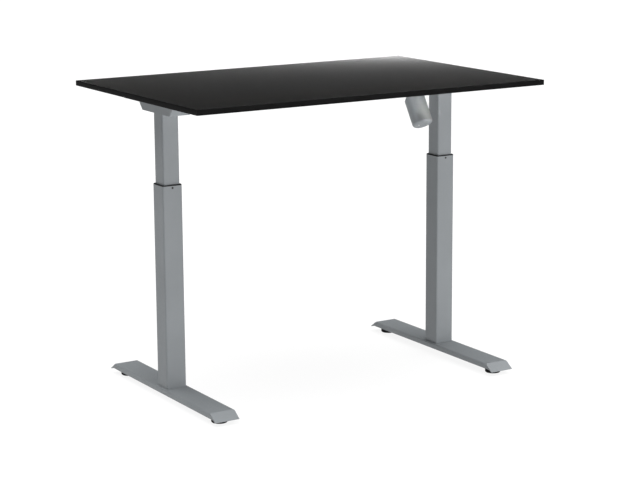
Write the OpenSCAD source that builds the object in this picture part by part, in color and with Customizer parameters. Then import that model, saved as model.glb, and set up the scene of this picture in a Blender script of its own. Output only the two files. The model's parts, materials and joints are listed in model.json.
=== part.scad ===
// Height adjustable standing desk: one motor turns a hex cross shaft, which drives a lead screw in
// each two-stage leg. The origin is on the floor, centred between the legs; X runs along the width,
// Y along the depth and Z up. The long edge at -Y is the one away from the user.

/* [Table top] */
// Width of the table top
top_w = 1200; // [1100:50:1600]
// Depth of the table top
top_d = 800; // [700:50:900]
// Thickness of the table top
top_t = 16; // [16:1:28]
// Thickness of the glued-on edge band
band_t = 2; // [1:0.5:3]

/* [Legs] */
// Distance between the two column centres
leg_span = 987; // [980:1:1060]
// Height of the steel frame as modelled, from the floor to the underside of the top
frame_h = 918; // [900:1:930]
// Height of the steel frame at its lowest
frame_h_min = 710; // [705:1:720]
// Height of the steel frame at its highest
frame_h_max = 1210; // [1180:1:1215]
// Side of the fixed outer tube
outer_w = 65; // [65:1:68]
// Side of the moving inner tube
inner_w = 55; // [55:1:56]
// Wall thickness of both tubes
tube_wall = 2; // [1.5:0.5:2]
// Height of the outer tube's rim above the floor
rim_z = 660; // [655:1:660]

/* [Feet] */
// Overall length of a foot
foot_l = 698; // [600:2:760]
// Width of a foot
foot_w = 80; // [76:1:90]
// Height of a foot's flat top above the floor
foot_h = 36; // [34:1:38]
// Depth of the folded side skirts
skirt_h = 17; // [14:1:19]
// Diameter of a levelling glide
glide_d = 48; // [40:1:52]

/* [Support arms and rails] */
// Length of a support arm along its top edge
arm_l = 460; // [420:10:640]
// Width of a support arm
arm_w = 68; // [66:1:74]
// Height of a support arm
arm_h = 45; // [44:1:46]
// Distance of each cross rail's centre line from the middle of the desk
rail_y = 52; // [50:1:60]

/* [Motor] */
// Distance of the motor from the middle of the desk
motor_x = 395; // [350:5:400]
// Lean of the motor's axis from the vertical
motor_tilt = 32; // [28:1:36]
// Diameter of the motor's housing
motor_d = 66; // [60:1:68]
// Length of the motor's housing
motor_l = 92; // [88:1:96]

/* [Hidden] */
$fn = 64;
CLEAR = 0.1;         // gap between a plug and the tube that it sits in
RUN = 0.06;          // radial clearance of a shaft in its own bore
GLIDE_GAP = 0.3;     // gap between sliding tubes and their bushes
THREAD_GAP = 0.05;   // radial gap round a screw in its hole
sheet = 2.5;         // folded sheet of the support arms
foot_sheet = 3;      // folded sheet of the feet
tube_r = 5;          // corner radius of the outer tube
leg_x = leg_span / 2;
arm_z = frame_h - arm_h;
lower = frame_h - frame_h_min;
raise = frame_h_max - frame_h;

// Foot outline
flat_half = foot_l / 2 - 32;
tip_drop = 22;
apron = 5;
slope = (foot_l / 2 - flat_half) / tip_drop;
glide_y = flat_half - 17;
glide_h = 12;
foot_plate_w = 70;
foot_plate_l = 190;
foot_plate_t = 4;
foot_plate_z = foot_h - foot_sheet - foot_plate_t;
bolt_head_h = 5;
glide_nut_h = 15;

// Things that stand inside the outer tube
base_t = 8;
base_top = foot_h + base_t;
base_side = outer_w - 2 * tube_wall - 2 * CLEAR;
bolt_xy = 21;
bolt_r = 4;
bush_h = 60;
rim_t = 3;
inner_bottom = base_top + lower + 4;
shoe_h = 40;
shoe_side = outer_w - 2 * tube_wall - GLIDE_GAP;

// Lead screw drive
screw_r = 8;
journal_r = 6;
screw_bottom = base_top + lower + 2;
nut_h = 45;
nut_r = 14;
nut_bottom = screw_bottom + raise + 6;
nut_tube_bore = 11;
head_h = 28;
head_bottom = arm_z - head_h;
bearing_z = head_bottom + 10;
bearing_h = 8;
bearing_r = 14;

// Leg gearboxes
shaft_z = arm_z + 17;
shaft_af = 8;
gear_r = 11;
gear_face = 5.5;
gear_backoff = 0.25;
gear_teeth = 14;
gear_z = shaft_z - gear_r - gear_backoff;
thread_top = head_bottom + 4;
gearbox_side = 52;
gearbox_bottom = arm_z + sheet;
gearbox_h = 32;
gear_room = 30;
lid_t = 2;
clamp_xy = 19;
clamp_r = 3;

// Cross rails
rail_w = 20;
rail_h = 30;
rail_wall = 1.5;
rail_z = frame_h - 2 - rail_h;
plate_t = 3;
rail_screw_dy = 12;

// Motor drive
wheel_r = 17;
wheel_w = 12;
worm_r = 7.5;
worm_offset = 25;
worm_from = -13;
motor_from = 36;
motor_r = motor_d / 2;
motor_wall = 3;
shoulder = 12;
small_r = 2;

// Control box and handset, both under the half of the top at the user's side
box_w = 220;
box_d = 96;
box_h = 38;
box_x = -40;
box_y = 190;
case_wall = 2.5;
inlet_w = 27;
inlet_h = 19;
handset_w = 104;
handset_d = 36;
handset_h = 20;
handset_x = 300;
handset_y = top_d / 2 - 4 - handset_d / 2;
button_w = 18;
button_h = 9;
button_dx = 16;
button_d = 9;
button_gap = 0.4;

// ---------------------------------------------------------------- shared shapes

// Square with rounded corners, centred on the origin
module round_square(side, r) {
    square([side - 2 * r, side], center = true);
    square([side, side - 2 * r], center = true);
    for (x = [-1, 1], y = [-1, 1])
        translate([x * (side / 2 - r), y * (side / 2 - r)]) circle(r);
}

// Upright square tube with rounded corners
module square_tube(outer, inner, outer_r, inner_r, h) {
    difference() {
        linear_extrude(h) round_square(outer, outer_r);
        translate([0, 0, -1]) linear_extrude(h + 2) round_square(inner, inner_r);
    }
}

// Upright ring
module ring(r_out, r_in, h) {
    difference() {
        cylinder(h = h, r = r_out);
        translate([0, 0, -1]) cylinder(h = h + 2, r = r_in);
    }
}

// Outline in the YZ plane, extruded along X and centred
module along_x(w) {
    translate([-w / 2, 0, 0]) rotate([90, 0, 90]) linear_extrude(w) children();
}

// Children at the four corners of a square pattern
module four(d) {
    for (x = [-1, 1], y = [-1, 1]) translate([x * d, y * d, 0]) children();
}

// Hexagon of a given width across its flats
module hexagon(af) {
    circle(r = af / sqrt(3), $fn = 6);
}

// Cone-shaped gear that points up, with its wide end at the origin
module bevel_gear() {
    difference() {
        cylinder(h = gear_face, r1 = gear_r, r2 = gear_r - gear_face);
        for (i = [0 : gear_teeth - 1])
            rotate([0, 0, i * 360 / gear_teeth])
                translate([gear_r, 0, 0])
                    rotate([0, -45, 0])
                        cube([2.2, 1.6, 3 * gear_face], center = true);
    }
}

// Motor axis: the origin is where the worm passes the hex shaft, and +Z points down the motor
module on_motor_axis() {
    translate([motor_x, 0, shaft_z])
        rotate([-motor_tilt, 0, 0])
            translate([0, worm_offset, 0])
                mirror([0, 0, 1]) children();
}

// ---------------------------------------------------------------- feet

module foot_side() {
    low = foot_h - skirt_h;
    tip = foot_h - tip_drop;
    inner_end = foot_l / 2 - apron;
    skirt_end = inner_end - (low - tip) * slope;
    polygon([
        [-flat_half, foot_h], [flat_half, foot_h], [foot_l / 2, tip], [inner_end, tip],
        [skirt_end, low], [-skirt_end, low], [-inner_end, tip], [-foot_l / 2, tip]
    ]);
}

module foot_hollow() {
    tip = foot_h - tip_drop;
    inner_end = foot_l / 2 - apron;
    ceiling_end = flat_half - apron + foot_sheet * slope;
    polygon([
        [-ceiling_end, foot_h - foot_sheet], [ceiling_end, foot_h - foot_sheet],
        [inner_end, tip], [inner_end, 0], [-inner_end, 0], [-inner_end, tip]
    ]);
}

// Folded channel with rounded long edges and a sloping apron at each end
module foot() {
    color("slategray") difference() {
        intersection() {
            along_x(foot_w) foot_side();
            rotate([90, 0, 0]) translate([0, 0, -foot_l / 2]) linear_extrude(foot_l) {
                r = 4;
                translate([-foot_w / 2, 0]) square([foot_w, foot_h - r]);
                translate([-foot_w / 2 + r, 0]) square([foot_w - 2 * r, foot_h]);
                for (x = [-1, 1]) translate([x * (foot_w / 2 - r), foot_h - r]) circle(r);
            }
        }
        along_x(foot_w - 2 * foot_sheet) foot_hollow();
        four(bolt_xy) cylinder(h = foot_h + 1, r = bolt_r + THREAD_GAP);
    }
}

// Stiffening plate that spreads the column's load inside the foot
module foot_plate() {
    color("dimgray") difference() {
        translate([-foot_plate_w / 2, -foot_plate_l / 2, foot_plate_z])
            cube([foot_plate_w, foot_plate_l, foot_plate_t]);
        four(bolt_xy) cylinder(h = foot_h, r = bolt_r + THREAD_GAP);
    }
}

module foot_bolts() {
    color("silver") four(bolt_xy) translate([0, 0, foot_plate_z]) {
        difference() {
            translate([0, 0, -bolt_head_h]) cylinder(h = bolt_head_h, r = 6.5);
            translate([0, 0, -bolt_head_h - 1]) linear_extrude(4) hexagon(5);
        }
        cylinder(h = base_top - 1 - foot_plate_z, r = bolt_r);
    }
}

module glide_nuts() {
    color("silver") for (y = [-1, 1]) translate([0, y * glide_y, foot_h - foot_sheet - glide_nut_h])
        difference() {
            linear_extrude(glide_nut_h) hexagon(13);
            translate([0, 0, -1]) cylinder(h = glide_nut_h + 2, r = bolt_r + RUN);
        }
}

// Levelling glide: a black disc moulded round a threaded stud
module glide() {
    chamfer = 1.5;
    r = glide_d / 2;
    color("black") {
        cylinder(h = chamfer, r1 = r - chamfer, r2 = r);
        translate([0, 0, chamfer]) cylinder(h = glide_h - 2 * chamfer, r = r);
        translate([0, 0, glide_h - chamfer]) cylinder(h = chamfer, r1 = r, r2 = r - chamfer);
        cylinder(h = 16, r = 9);
        cylinder(h = foot_h - foot_sheet - 1, r = bolt_r);
    }
}

// ---------------------------------------------------------------- lower leg

module base_plate() {
    color("dimgray") translate([0, 0, foot_h]) difference() {
        linear_extrude(base_t) round_square(base_side, tube_r - tube_wall);
        four(bolt_xy) translate([0, 0, -1]) cylinder(h = base_t + 2, r = bolt_r + THREAD_GAP);
    }
}

module outer_tube() {
    color("slategray") difference() {
        translate([0, 0, foot_h])
            square_tube(outer_w, outer_w - 2 * tube_wall, tube_r, tube_r - tube_wall,
                        rim_z - rim_t - foot_h);
        rim_screw_hole();
    }
}

// The rim screw sits in the middle of the face away from the user
module at_rim_screw() {
    translate([0, -outer_w / 2, rim_z - 9]) rotate([-90, 0, 0]) children();
}

module rim_screw_hole() {
    at_rim_screw() translate([0, 0, -1]) cylinder(h = 6, r = 2 + THREAD_GAP);
}

module rim_screw() {
    color("black") at_rim_screw() {
        translate([0, 0, -1.2]) cylinder(h = 1.2, r = 3);
        cylinder(h = 4, r = 2);
    }
}

// Plastic guide bush whose rim closes the gap round the inner tube
module rim_bush() {
    bore = inner_w + 2 * GLIDE_GAP;
    color("black") difference() {
        union() {
            translate([0, 0, rim_z - bush_h])
                square_tube(outer_w - 2 * tube_wall - 2 * CLEAR, bore, 2.9, tube_r, bush_h);
            translate([0, 0, rim_z - rim_t])
                square_tube(outer_w - 0.6, bore, tube_r, tube_r, rim_t);
        }
        rim_screw_hole();
    }
}

module nut_tube() {
    color("silver") translate([0, 0, base_top])
        ring(nut_r, nut_tube_bore, nut_bottom - base_top);
}

module drive_nut() {
    spigot = 15;
    color("ivory") difference() {
        union() {
            translate([0, 0, nut_bottom]) cylinder(h = nut_h, r = nut_r);
            translate([0, 0, nut_bottom - spigot]) cylinder(h = spigot, r = nut_tube_bore - CLEAR);
        }
        translate([0, 0, nut_bottom - spigot - 1]) cylinder(h = nut_h + spigot + 2, r = screw_r + RUN);
    }
}

// ---------------------------------------------------------------- upper leg

module inner_tube() {
    color("slategray") translate([0, 0, inner_bottom])
        square_tube(inner_w, inner_w - 2 * tube_wall, tube_r, tube_r - tube_wall,
                    arm_z - inner_bottom);
}

module slide_shoe() {
    color("black") translate([0, 0, inner_bottom])
        square_tube(shoe_side, inner_w + 2 * CLEAR, 2.9, tube_r, shoe_h);
}

module tube_head() {
    side = inner_w - 2 * tube_wall - 2 * CLEAR;
    color("gray") difference() {
        translate([0, 0, head_bottom]) linear_extrude(head_h) round_square(side, 2.9);
        translate([0, 0, head_bottom - 1]) cylinder(h = head_h + 2, r = screw_r + 1);
        translate([0, 0, bearing_z]) cylinder(h = head_h, r = bearing_r + THREAD_GAP);
        four(clamp_xy) translate([0, 0, head_bottom + 6])
            cylinder(h = head_h, r = clamp_r + THREAD_GAP);
    }
}

// Sealed ball bearing: outer ring, seals and inner ring drawn as one ring with a groove each side
module screw_bearing() {
    color("silver") translate([0, 0, bearing_z]) difference() {
        ring(bearing_r, journal_r + RUN, bearing_h);
        for (z = [-1, bearing_h - 0.8]) translate([0, 0, z]) ring(12, 8.5, 1.8);
    }
}

// Lead screw with its plain journal; the thread itself is drawn as a plain round of its outer size
module lead_screw() {
    color("silver") {
        translate([0, 0, screw_bottom]) cylinder(h = thread_top - screw_bottom, r = screw_r);
        translate([0, 0, thread_top]) cylinder(h = 1.5, r1 = screw_r, r2 = journal_r);
        translate([0, 0, thread_top]) cylinder(h = gear_z - thread_top, r = journal_r);
    }
}

module screw_gear() {
    color("goldenrod") translate([0, 0, gear_z]) bevel_gear();
}

// Die-cast gearbox clamped on the support arm, with its shaft bore facing the middle of the desk
module gearbox(side) {
    half = gearbox_side / 2;
    color("gray") difference() {
        translate([-half, -half, gearbox_bottom]) cube([gearbox_side, gearbox_side, gearbox_h]);
        translate([-gear_room / 2, -gear_room / 2, gearbox_bottom + 1.5])
            cube([gear_room, gear_room, gearbox_h]);
        translate([0, 0, gearbox_bottom - 1]) cylinder(h = 4, r = journal_r + RUN);
        translate([0, 0, shaft_z]) rotate([0, -side * 90, 0])
            cylinder(h = half + 1, r = journal_r + RUN);
        four(clamp_xy) translate([0, 0, gearbox_bottom - 1])
            cylinder(h = gearbox_h + 2, r = clamp_r + THREAD_GAP);
    }
}

module gearboxes() {
    for (side = [-1, 1]) at_leg(side) gearbox(side);
}

module gearbox_lid() {
    half = gearbox_side / 2;
    color("gray") difference() {
        translate([-half, -half, gearbox_bottom + gearbox_h]) cube([gearbox_side, gearbox_side, lid_t]);
        four(clamp_xy) translate([0, 0, gearbox_bottom])
            cylinder(h = gearbox_h + 9, r = clamp_r + THREAD_GAP);
    }
}

module gearbox_screw_set() {
    under_head = gearbox_bottom + gearbox_h + lid_t;
    color("silver") four(clamp_xy) {
        difference() {
            translate([0, 0, under_head]) cylinder(h = 4, r = 5);
            translate([0, 0, under_head + 1.5]) linear_extrude(4) hexagon(4);
        }
        translate([0, 0, head_bottom + 8]) cylinder(h = under_head - head_bottom - 8, r = clamp_r);
    }
}

// ---------------------------------------------------------------- support arms and rails

arm_half = arm_l / 2;
arm_cut = 21;        // how far the oblique ends lean in
wing_h = 23;         // height of the shallow outer parts
wing_z = frame_h - wing_h;
middle_half = 88;    // half the length of the deep middle part
ramp_l = 20;
end_shift = 1.4;     // how far 1 mm of sheet moves a top corner inwards
bend_shift = 0.4;    // and the same for the other corners
lip_w = 14;
lip_inset = 12;      // from an arm's end to the end of its lips
lip_x = arm_w / 2 - sheet - lip_w / 2;
wood_screw_r = 2.25;
outer_screw_y = arm_half - 35;
inner_screw_y = middle_half + 22;
wood_screw_y = [-outer_screw_y, -inner_screw_y, inner_screw_y, outer_screw_y];

module arm_side(inset) {
    top_end = arm_half - inset * end_shift;
    end = arm_half - arm_cut - inset * bend_shift;
    ramp_end = middle_half + ramp_l - inset * bend_shift;
    middle = middle_half - inset * bend_shift;
    polygon([
        [-top_end, frame_h], [top_end, frame_h],
        [end, wing_z + inset], [ramp_end, wing_z + inset],
        [middle, arm_z + inset], [-middle, arm_z + inset],
        [-ramp_end, wing_z + inset], [-end, wing_z + inset]
    ]);
}

// Folded channel, open at the top, with inward lips that are screwed to the table top
module support_arm(side) {
    color("slategray") difference() {
        union() {
            difference() {
                along_x(arm_w) arm_side(0);
                along_x(arm_w - 2 * sheet) arm_side(sheet);
            }
            for (x = [-1, 1])
                translate([x * lip_x - lip_w / 2, -arm_half + lip_inset, frame_h - sheet])
                    cube([lip_w, arm_l - 2 * lip_inset, sheet]);
        }
        translate([0, 0, arm_z - 1]) cylinder(h = sheet + 2, r = journal_r + 2);
        four(clamp_xy) translate([0, 0, arm_z - 1])
            cylinder(h = sheet + 2, r = clamp_r + THREAD_GAP);
        at_wood_screws() translate([0, 0, -sheet - 1])
            cylinder(h = sheet + 2, r = wood_screw_r + 0.3);
        translate([-side * arm_w / 2, 0, shaft_z]) rotate([0, 90, 0])
            cylinder(h = 3 * sheet, r = 9, center = true);
        for (y = [-1, 1], dy = [-1, 1])
            translate([-side * arm_w / 2, y * rail_y + dy * rail_screw_dy, shaft_z + 8])
                rotate([0, 90, 0]) cylinder(h = 3 * sheet, r = clamp_r + THREAD_GAP, center = true);
    }
}

module at_wood_screws() {
    for (x = [-1, 1], y = wood_screw_y) translate([x * lip_x, y, frame_h]) children();
}

module wood_screw() {
    color("silver") {
        translate([0, 0, -sheet - 2.5]) cylinder(h = 2.5, r = 4.5);
        translate([0, 0, -sheet]) cylinder(h = sheet + 10, r = wood_screw_r);
        translate([0, 0, 10]) cylinder(h = 2, r1 = wood_screw_r, r2 = 0.5);
    }
}

module wood_screws() {
    at_both_legs() at_wood_screws() wood_screw();
    at_case_screws() wood_screw();
}

rail_half = leg_x - arm_w / 2 - plate_t;
rail_gap = rail_y - rail_w / 2;
bracket_x = motor_x + wheel_w / 2 + 5;

// Two rectangular tubes that tie the support arms together, one each side of the hex shaft
module cross_rails() {
    color("slategray") difference() {
        for (side = [-1, 1]) translate([-rail_half, side * rail_y - rail_w / 2, rail_z]) rail_tube();
        at_flange_screws() cylinder(h = 12, r = small_r + THREAD_GAP, center = true);
    }
}

module rail_tube() {
    difference() {
        cube([2 * rail_half, rail_w, rail_h]);
        translate([-1, rail_wall, rail_wall])
            cube([2 * rail_half + 2, rail_w - 2 * rail_wall, rail_h - 2 * rail_wall]);
    }
}

module at_rail_screws() {
    for (side = [-1, 1], y = [-1, 1], dy = [-1, 1])
        translate([side * (leg_x - arm_w / 2), y * rail_y + dy * rail_screw_dy, shaft_z + 8])
            rotate([0, side * 90, 0]) children();
}

module rail_end_plates() {
    color("slategray") difference() {
        for (side = [-1, 1], y = [-1, 1])
            translate([side * (rail_half + plate_t / 2), y * rail_y, rail_z + rail_h / 2 - 2])
                cube([plate_t, 36, 34], center = true);
        at_rail_screws() translate([0, 0, -2 * plate_t])
            cylinder(h = 4 * plate_t, r = clamp_r + THREAD_GAP);
    }
}

module rail_screws() {
    color("silver") at_rail_screws() {
        translate([0, 0, -plate_t]) cylinder(h = plate_t + sheet, r = clamp_r);
        difference() {
            translate([0, 0, sheet]) cylinder(h = 3, r = 5.5);
            translate([0, 0, sheet + 1.2]) linear_extrude(3) hexagon(4);
        }
    }
}

// ---------------------------------------------------------------- drive

module hex_shaft() {
    half = leg_x - gear_r;
    color("silver") translate([-half, 0, shaft_z]) rotate([0, 90, 0])
        linear_extrude(2 * half) hexagon(shaft_af);
}

// Each gear's hub turns in the side bore of its gearbox
module shaft_gears() {
    hub_end = gearbox_side / 2 + 2;
    color("goldenrod") for (side = [-1, 1])
        translate([side * leg_x, 0, shaft_z]) rotate([0, -side * 90, 0]) difference() {
            union() {
                translate([0, 0, gear_r + gear_backoff]) mirror([0, 0, 1]) bevel_gear();
                translate([0, 0, gear_r + gear_backoff]) cylinder(h = hub_end - gear_r, r = journal_r);
            }
            translate([0, 0, gear_r]) linear_extrude(hub_end) hexagon(shaft_af + 2 * CLEAR);
        }
}

module worm_wheel() {
    teeth = 24;
    color("ivory") translate([motor_x, 0, shaft_z]) rotate([0, 90, 0]) difference() {
        translate([0, 0, -wheel_w / 2]) cylinder(h = wheel_w, r = wheel_r);
        for (i = [0 : teeth - 1]) rotate([0, 0, i * 360 / teeth])
            translate([wheel_r, 0, 0]) rotate([0, 0, 45]) cube([1.9, 1.9, wheel_w + 1], center = true);
        translate([0, 0, -wheel_w]) linear_extrude(2 * wheel_w) hexagon(shaft_af + 2 * CLEAR);
    }
}

// Worm casing and the round casing of its wheel, in one die casting
module drive_housing() {
    wheel_room = wheel_r + 1;
    casing_r = 22;
    worm_casing_r = worm_r + 3.5;
    color("silver") difference() {
        union() {
            translate([motor_x, 0, shaft_z]) rotate([0, 90, 0])
                cylinder(h = wheel_w + 10, r = casing_r, center = true);
            on_motor_axis() translate([0, 0, worm_from - 6])
                cylinder(h = motor_from - shoulder - worm_from + 6, r = worm_casing_r);
            on_motor_axis() translate([0, 0, motor_from - shoulder])
                cylinder(h = shoulder, r1 = motor_r - 9, r2 = motor_r);
        }
        translate([motor_x, 0, shaft_z]) rotate([0, 90, 0])
            cylinder(h = wheel_w + 2, r = wheel_room, center = true);
        translate([motor_x, 0, shaft_z]) rotate([0, 90, 0])
            cylinder(h = 40, r = shaft_af / sqrt(3) + 1, center = true);
        on_motor_axis() translate([0, 0, worm_from - 1])
            cylinder(h = motor_from + shoulder - worm_from, r = worm_r + 1);
        at_casing_screws() cylinder(h = plate_t + 5, r = small_r + THREAD_GAP);
    }
}

// Screws from the bracket's flanges into the rails; +Z points into the rail
module at_flange_screws() {
    for (side = [-1, 1], z = [8, 22])
        translate([bracket_x + 14, side * (rail_gap - plate_t), rail_z + z])
            rotate([-side * 90, 0, 0]) children();
}

// Screws from the bracket into the wheel's casing; +Z points into the casing
module at_casing_screws() {
    for (a = [90, 210, 330])
        translate([bracket_x + plate_t, 0, shaft_z])
            rotate([a, 0, 0]) translate([0, 0, 14]) rotate([0, -90, 0]) children();
}

// Plate between the rails that carries the drive
module motor_bracket() {
    below_shaft = 18;
    color("slategray") difference() {
        union() {
            translate([bracket_x, -rail_gap, shaft_z - below_shaft])
                cube([plate_t, 2 * rail_gap, rail_z + rail_h - shaft_z + below_shaft]);
            for (y = [-rail_gap, rail_gap - plate_t])
                translate([bracket_x, y, rail_z]) cube([24, plate_t, rail_h]);
        }
        translate([bracket_x - 1, 0, shaft_z]) rotate([0, 90, 0]) cylinder(h = plate_t + 2, r = 8);
        at_flange_screws() cylinder(h = 12, r = small_r + THREAD_GAP, center = true);
        at_casing_screws() cylinder(h = 12, r = small_r + THREAD_GAP, center = true);
    }
}

// Pan-head screw, from under its head
module small_screw(l) {
    translate([0, 0, -2.2]) cylinder(h = 2.2, r = 3.6);
    cylinder(h = l, r = small_r);
}

module bracket_screws() {
    color("silver") {
        at_flange_screws() small_screw(plate_t + rail_wall + 2);
        at_casing_screws() small_screw(plate_t + 3.5);
    }
}

// Motor can with a rounded lower end
module motor_housing() {
    round_r = 9;
    color("slategray") on_motor_axis() translate([0, 0, motor_from]) rotate_extrude() difference() {
        union() {
            square([motor_r, motor_l - round_r]);
            square([motor_r - round_r, motor_l]);
            translate([motor_r - round_r, motor_l - round_r]) circle(round_r);
        }
        square([motor_r - motor_wall, motor_l - motor_wall - round_r / 2]);
    }
}

// Worm cut in the end of the armature's shaft, its thread drawn as rings
module motor_rotor() {
    ring_pitch = 4;
    color("peru") on_motor_axis() {
        difference() {
            translate([0, 0, worm_from]) cylinder(h = -2 * worm_from, r = worm_r);
            for (z = [worm_from + ring_pitch / 2 : ring_pitch : -worm_from])
                translate([0, 0, z]) ring(worm_r + 1, worm_r - 2, 1.6);
        }
        cylinder(h = motor_from + motor_l - 12, r = 4);
        translate([0, 0, motor_from + 14]) cylinder(h = 44, r = 12);
    }
}

// ---------------------------------------------------------------- control box and handset

module control_box() {
    color("black") translate([box_x, box_y, frame_h - box_h]) difference() {
        translate([-box_w / 2, -box_d / 2, 0]) cube([box_w, box_d, box_h - case_wall]);
        translate([-box_w / 2 + case_wall, -box_d / 2 + case_wall, case_wall])
            cube([box_w - 2 * case_wall, box_d - 2 * case_wall, box_h]);
        inlet_hole();
        for (i = [-2 : 2]) translate([box_w / 2, i * 12, box_h / 2]) cube([12, 4, 14], center = true);
    }
}

// Opening for the mains inlet, in one end of the box
module inlet_hole() {
    translate([-box_w / 2, 0, box_h / 2 - 1]) cube([3 * case_wall, inlet_w, inlet_h], center = true);
}

// Appliance inlet: a flanged cup with three pins
module mains_inlet() {
    depth = 18;
    color("black") translate([box_x - box_w / 2, box_y, frame_h - box_h / 2 - 1]) {
        difference() {
            union() {
                translate([0, -inlet_w / 2 + CLEAR, -inlet_h / 2 + CLEAR])
                    cube([depth, inlet_w - 2 * CLEAR, inlet_h - 2 * CLEAR]);
                translate([-1.5, -inlet_w / 2 - 3, -inlet_h / 2 - 3])
                    cube([1.5, inlet_w + 6, inlet_h + 6]);
            }
            translate([-2, -inlet_w / 2 + 2, -inlet_h / 2 + 2]) cube([depth, inlet_w - 4, inlet_h - 4]);
        }
        for (pin = [[-7, -2], [0, 3], [7, -2]])
            translate([depth - 14, pin[0] - 1, pin[1] - 2.5]) cube([13, 2, 5]);
    }
}

module control_box_cover() {
    color("black") translate([box_x, box_y, frame_h - case_wall]) difference() {
        translate([-box_w / 2 - 12, -box_d / 2, 0]) cube([box_w + 24, box_d, case_wall]);
        translate([-box_x, -box_y, case_wall - frame_h]) case_screw_holes();
    }
}

// Wood screws that hold the control box and the handset; +Z points up into the table top
module at_case_screws() {
    for (x = [-1, 1], y = [-1, 1])
        translate([box_x + x * (box_w / 2 + 6), box_y + y * 30, frame_h]) children();
    for (x = [-1, 1])
        translate([handset_x + x * 38, handset_y - handset_d / 2 - 7, frame_h]) children();
}

module case_screw_holes() {
    at_case_screws() translate([0, 0, -5]) cylinder(h = 10, r = wood_screw_r + 0.3);
}

module handset() {
    color("black") translate([handset_x, handset_y, frame_h - handset_h]) difference() {
        translate([-handset_w / 2, -handset_d / 2, 0])
            cube([handset_w, handset_d, handset_h - case_wall]);
        translate([-handset_w / 2 + case_wall, -handset_d / 2 + case_wall, case_wall])
            cube([handset_w - 2 * case_wall, handset_d - 2 * case_wall, handset_h]);
        for (x = [-1, 1]) translate([x * button_dx, handset_d / 2, handset_h / 2 - 1])
            cube([button_w + 2 * button_gap, 4 * case_wall, button_h + 2 * button_gap], center = true);
    }
}

module handset_back() {
    flange = 14;
    color("black") difference() {
        translate([handset_x - handset_w / 2, handset_y - handset_d / 2 - flange, frame_h - case_wall])
            cube([handset_w, handset_d + flange, case_wall]);
        case_screw_holes();
    }
}

// Each button stands 1.5 mm proud and has a flange inside that keeps it in the case
module handset_button(side) {
    proud = 1.5;
    face = [handset_x + side * button_dx, handset_y + handset_d / 2, frame_h - handset_h / 2 - 1];
    color("dimgray") translate(face) {
        translate([-button_w / 2, -button_d, -button_h / 2]) cube([button_w, button_d + proud, button_h]);
        translate([-button_w / 2 - 1.5, -button_d, -button_h / 2 - 1.5])
            cube([button_w + 3, button_d - case_wall - 0.3, button_h + 3]);
    }
}

// ---------------------------------------------------------------- table top

module table_top() {
    color("black") difference() {
        translate([-top_w / 2 + band_t, -top_d / 2 + band_t, frame_h])
            cube([top_w - 2 * band_t, top_d - 2 * band_t, top_t]);
        at_both_legs() at_wood_screws() wood_screw_pilot();
        at_case_screws() wood_screw_pilot();
    }
}

module wood_screw_pilot() {
    translate([0, 0, -1]) cylinder(h = 13.5, r = wood_screw_r + THREAD_GAP);
}

module edge_band() {
    color("black") translate([0, 0, frame_h]) difference() {
        translate([-top_w / 2, -top_d / 2, 0]) cube([top_w, top_d, top_t]);
        translate([-top_w / 2 + band_t, -top_d / 2 + band_t, -1])
            cube([top_w - 2 * band_t, top_d - 2 * band_t, top_t + 2]);
    }
}

// ---------------------------------------------------------------- assembly

module at_leg(side) {
    translate([side * leg_x, 0, 0]) children();
}

module at_glide(side, end) {
    translate([side * leg_x, end * glide_y, 0]) children();
}

module at_both_legs() {
    for (side = [-1, 1]) at_leg(side) children();
}

at_leg(-1) foot();  // left_foot
at_leg(1) foot();  // right_foot
at_leg(-1) foot_plate();  // left_foot_plate
at_leg(1) foot_plate();  // right_foot_plate
at_leg(-1) foot_bolts();  // left_foot_bolts
at_leg(1) foot_bolts();  // right_foot_bolts
at_leg(-1) glide_nuts();  // left_glide_nuts
at_leg(1) glide_nuts();  // right_glide_nuts
at_glide(-1, 1) glide();  // left_front_glide
at_glide(-1, -1) glide();  // left_rear_glide
at_glide(1, 1) glide();  // right_front_glide
at_glide(1, -1) glide();  // right_rear_glide
at_leg(-1) base_plate();  // left_base_plate
at_leg(1) base_plate();  // right_base_plate
at_leg(-1) outer_tube();  // left_outer_tube
at_leg(1) outer_tube();  // right_outer_tube
at_leg(-1) rim_bush();  // left_rim_bush
at_leg(1) rim_bush();  // right_rim_bush
at_leg(-1) rim_screw();  // left_rim_screw
at_leg(1) rim_screw();  // right_rim_screw
at_leg(-1) nut_tube();  // left_nut_tube
at_leg(1) nut_tube();  // right_nut_tube
at_leg(-1) drive_nut();  // left_drive_nut
at_leg(1) drive_nut();  // right_drive_nut
at_leg(-1) inner_tube();  // left_inner_tube
at_leg(1) inner_tube();  // right_inner_tube
at_leg(-1) slide_shoe();  // left_slide_shoe
at_leg(1) slide_shoe();  // right_slide_shoe
at_both_legs() tube_head();  // tube_heads
at_both_legs() screw_bearing();  // screw_bearings
at_leg(-1) lead_screw();  // left_lead_screw
at_leg(1) lead_screw();  // right_lead_screw
at_leg(-1) screw_gear();  // left_bevel_gear
at_leg(1) screw_gear();  // right_bevel_gear
gearboxes();
at_both_legs() gearbox_lid();  // gearbox_lids
at_both_legs() gearbox_screw_set();  // gearbox_screws
at_leg(-1) support_arm(-1);  // left_support_arm
at_leg(1) support_arm(1);  // right_support_arm
cross_rails();
rail_end_plates();
rail_screws();
hex_shaft();
shaft_gears();
worm_wheel();
drive_housing();
motor_bracket();
bracket_screws();
motor_housing();
motor_rotor();
control_box();
control_box_cover();
mains_inlet();
handset();
handset_back();
handset_button(-1);  // up_button
handset_button(1);  // down_button
table_top();
edge_band();
wood_screws();
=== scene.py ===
"""Looks of the height adjustable standing desk: finishes, detail pieces, camera, light and floor.

Everything is in metres in the CAD model's frame: the origin is on the floor between the legs, X runs
along the width, Y along the depth and Z up. The long edge at -Y is the one that the camera sees.
"""
import json
import math

import bmesh
import bpy
from mathutils import Matrix, Vector


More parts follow.
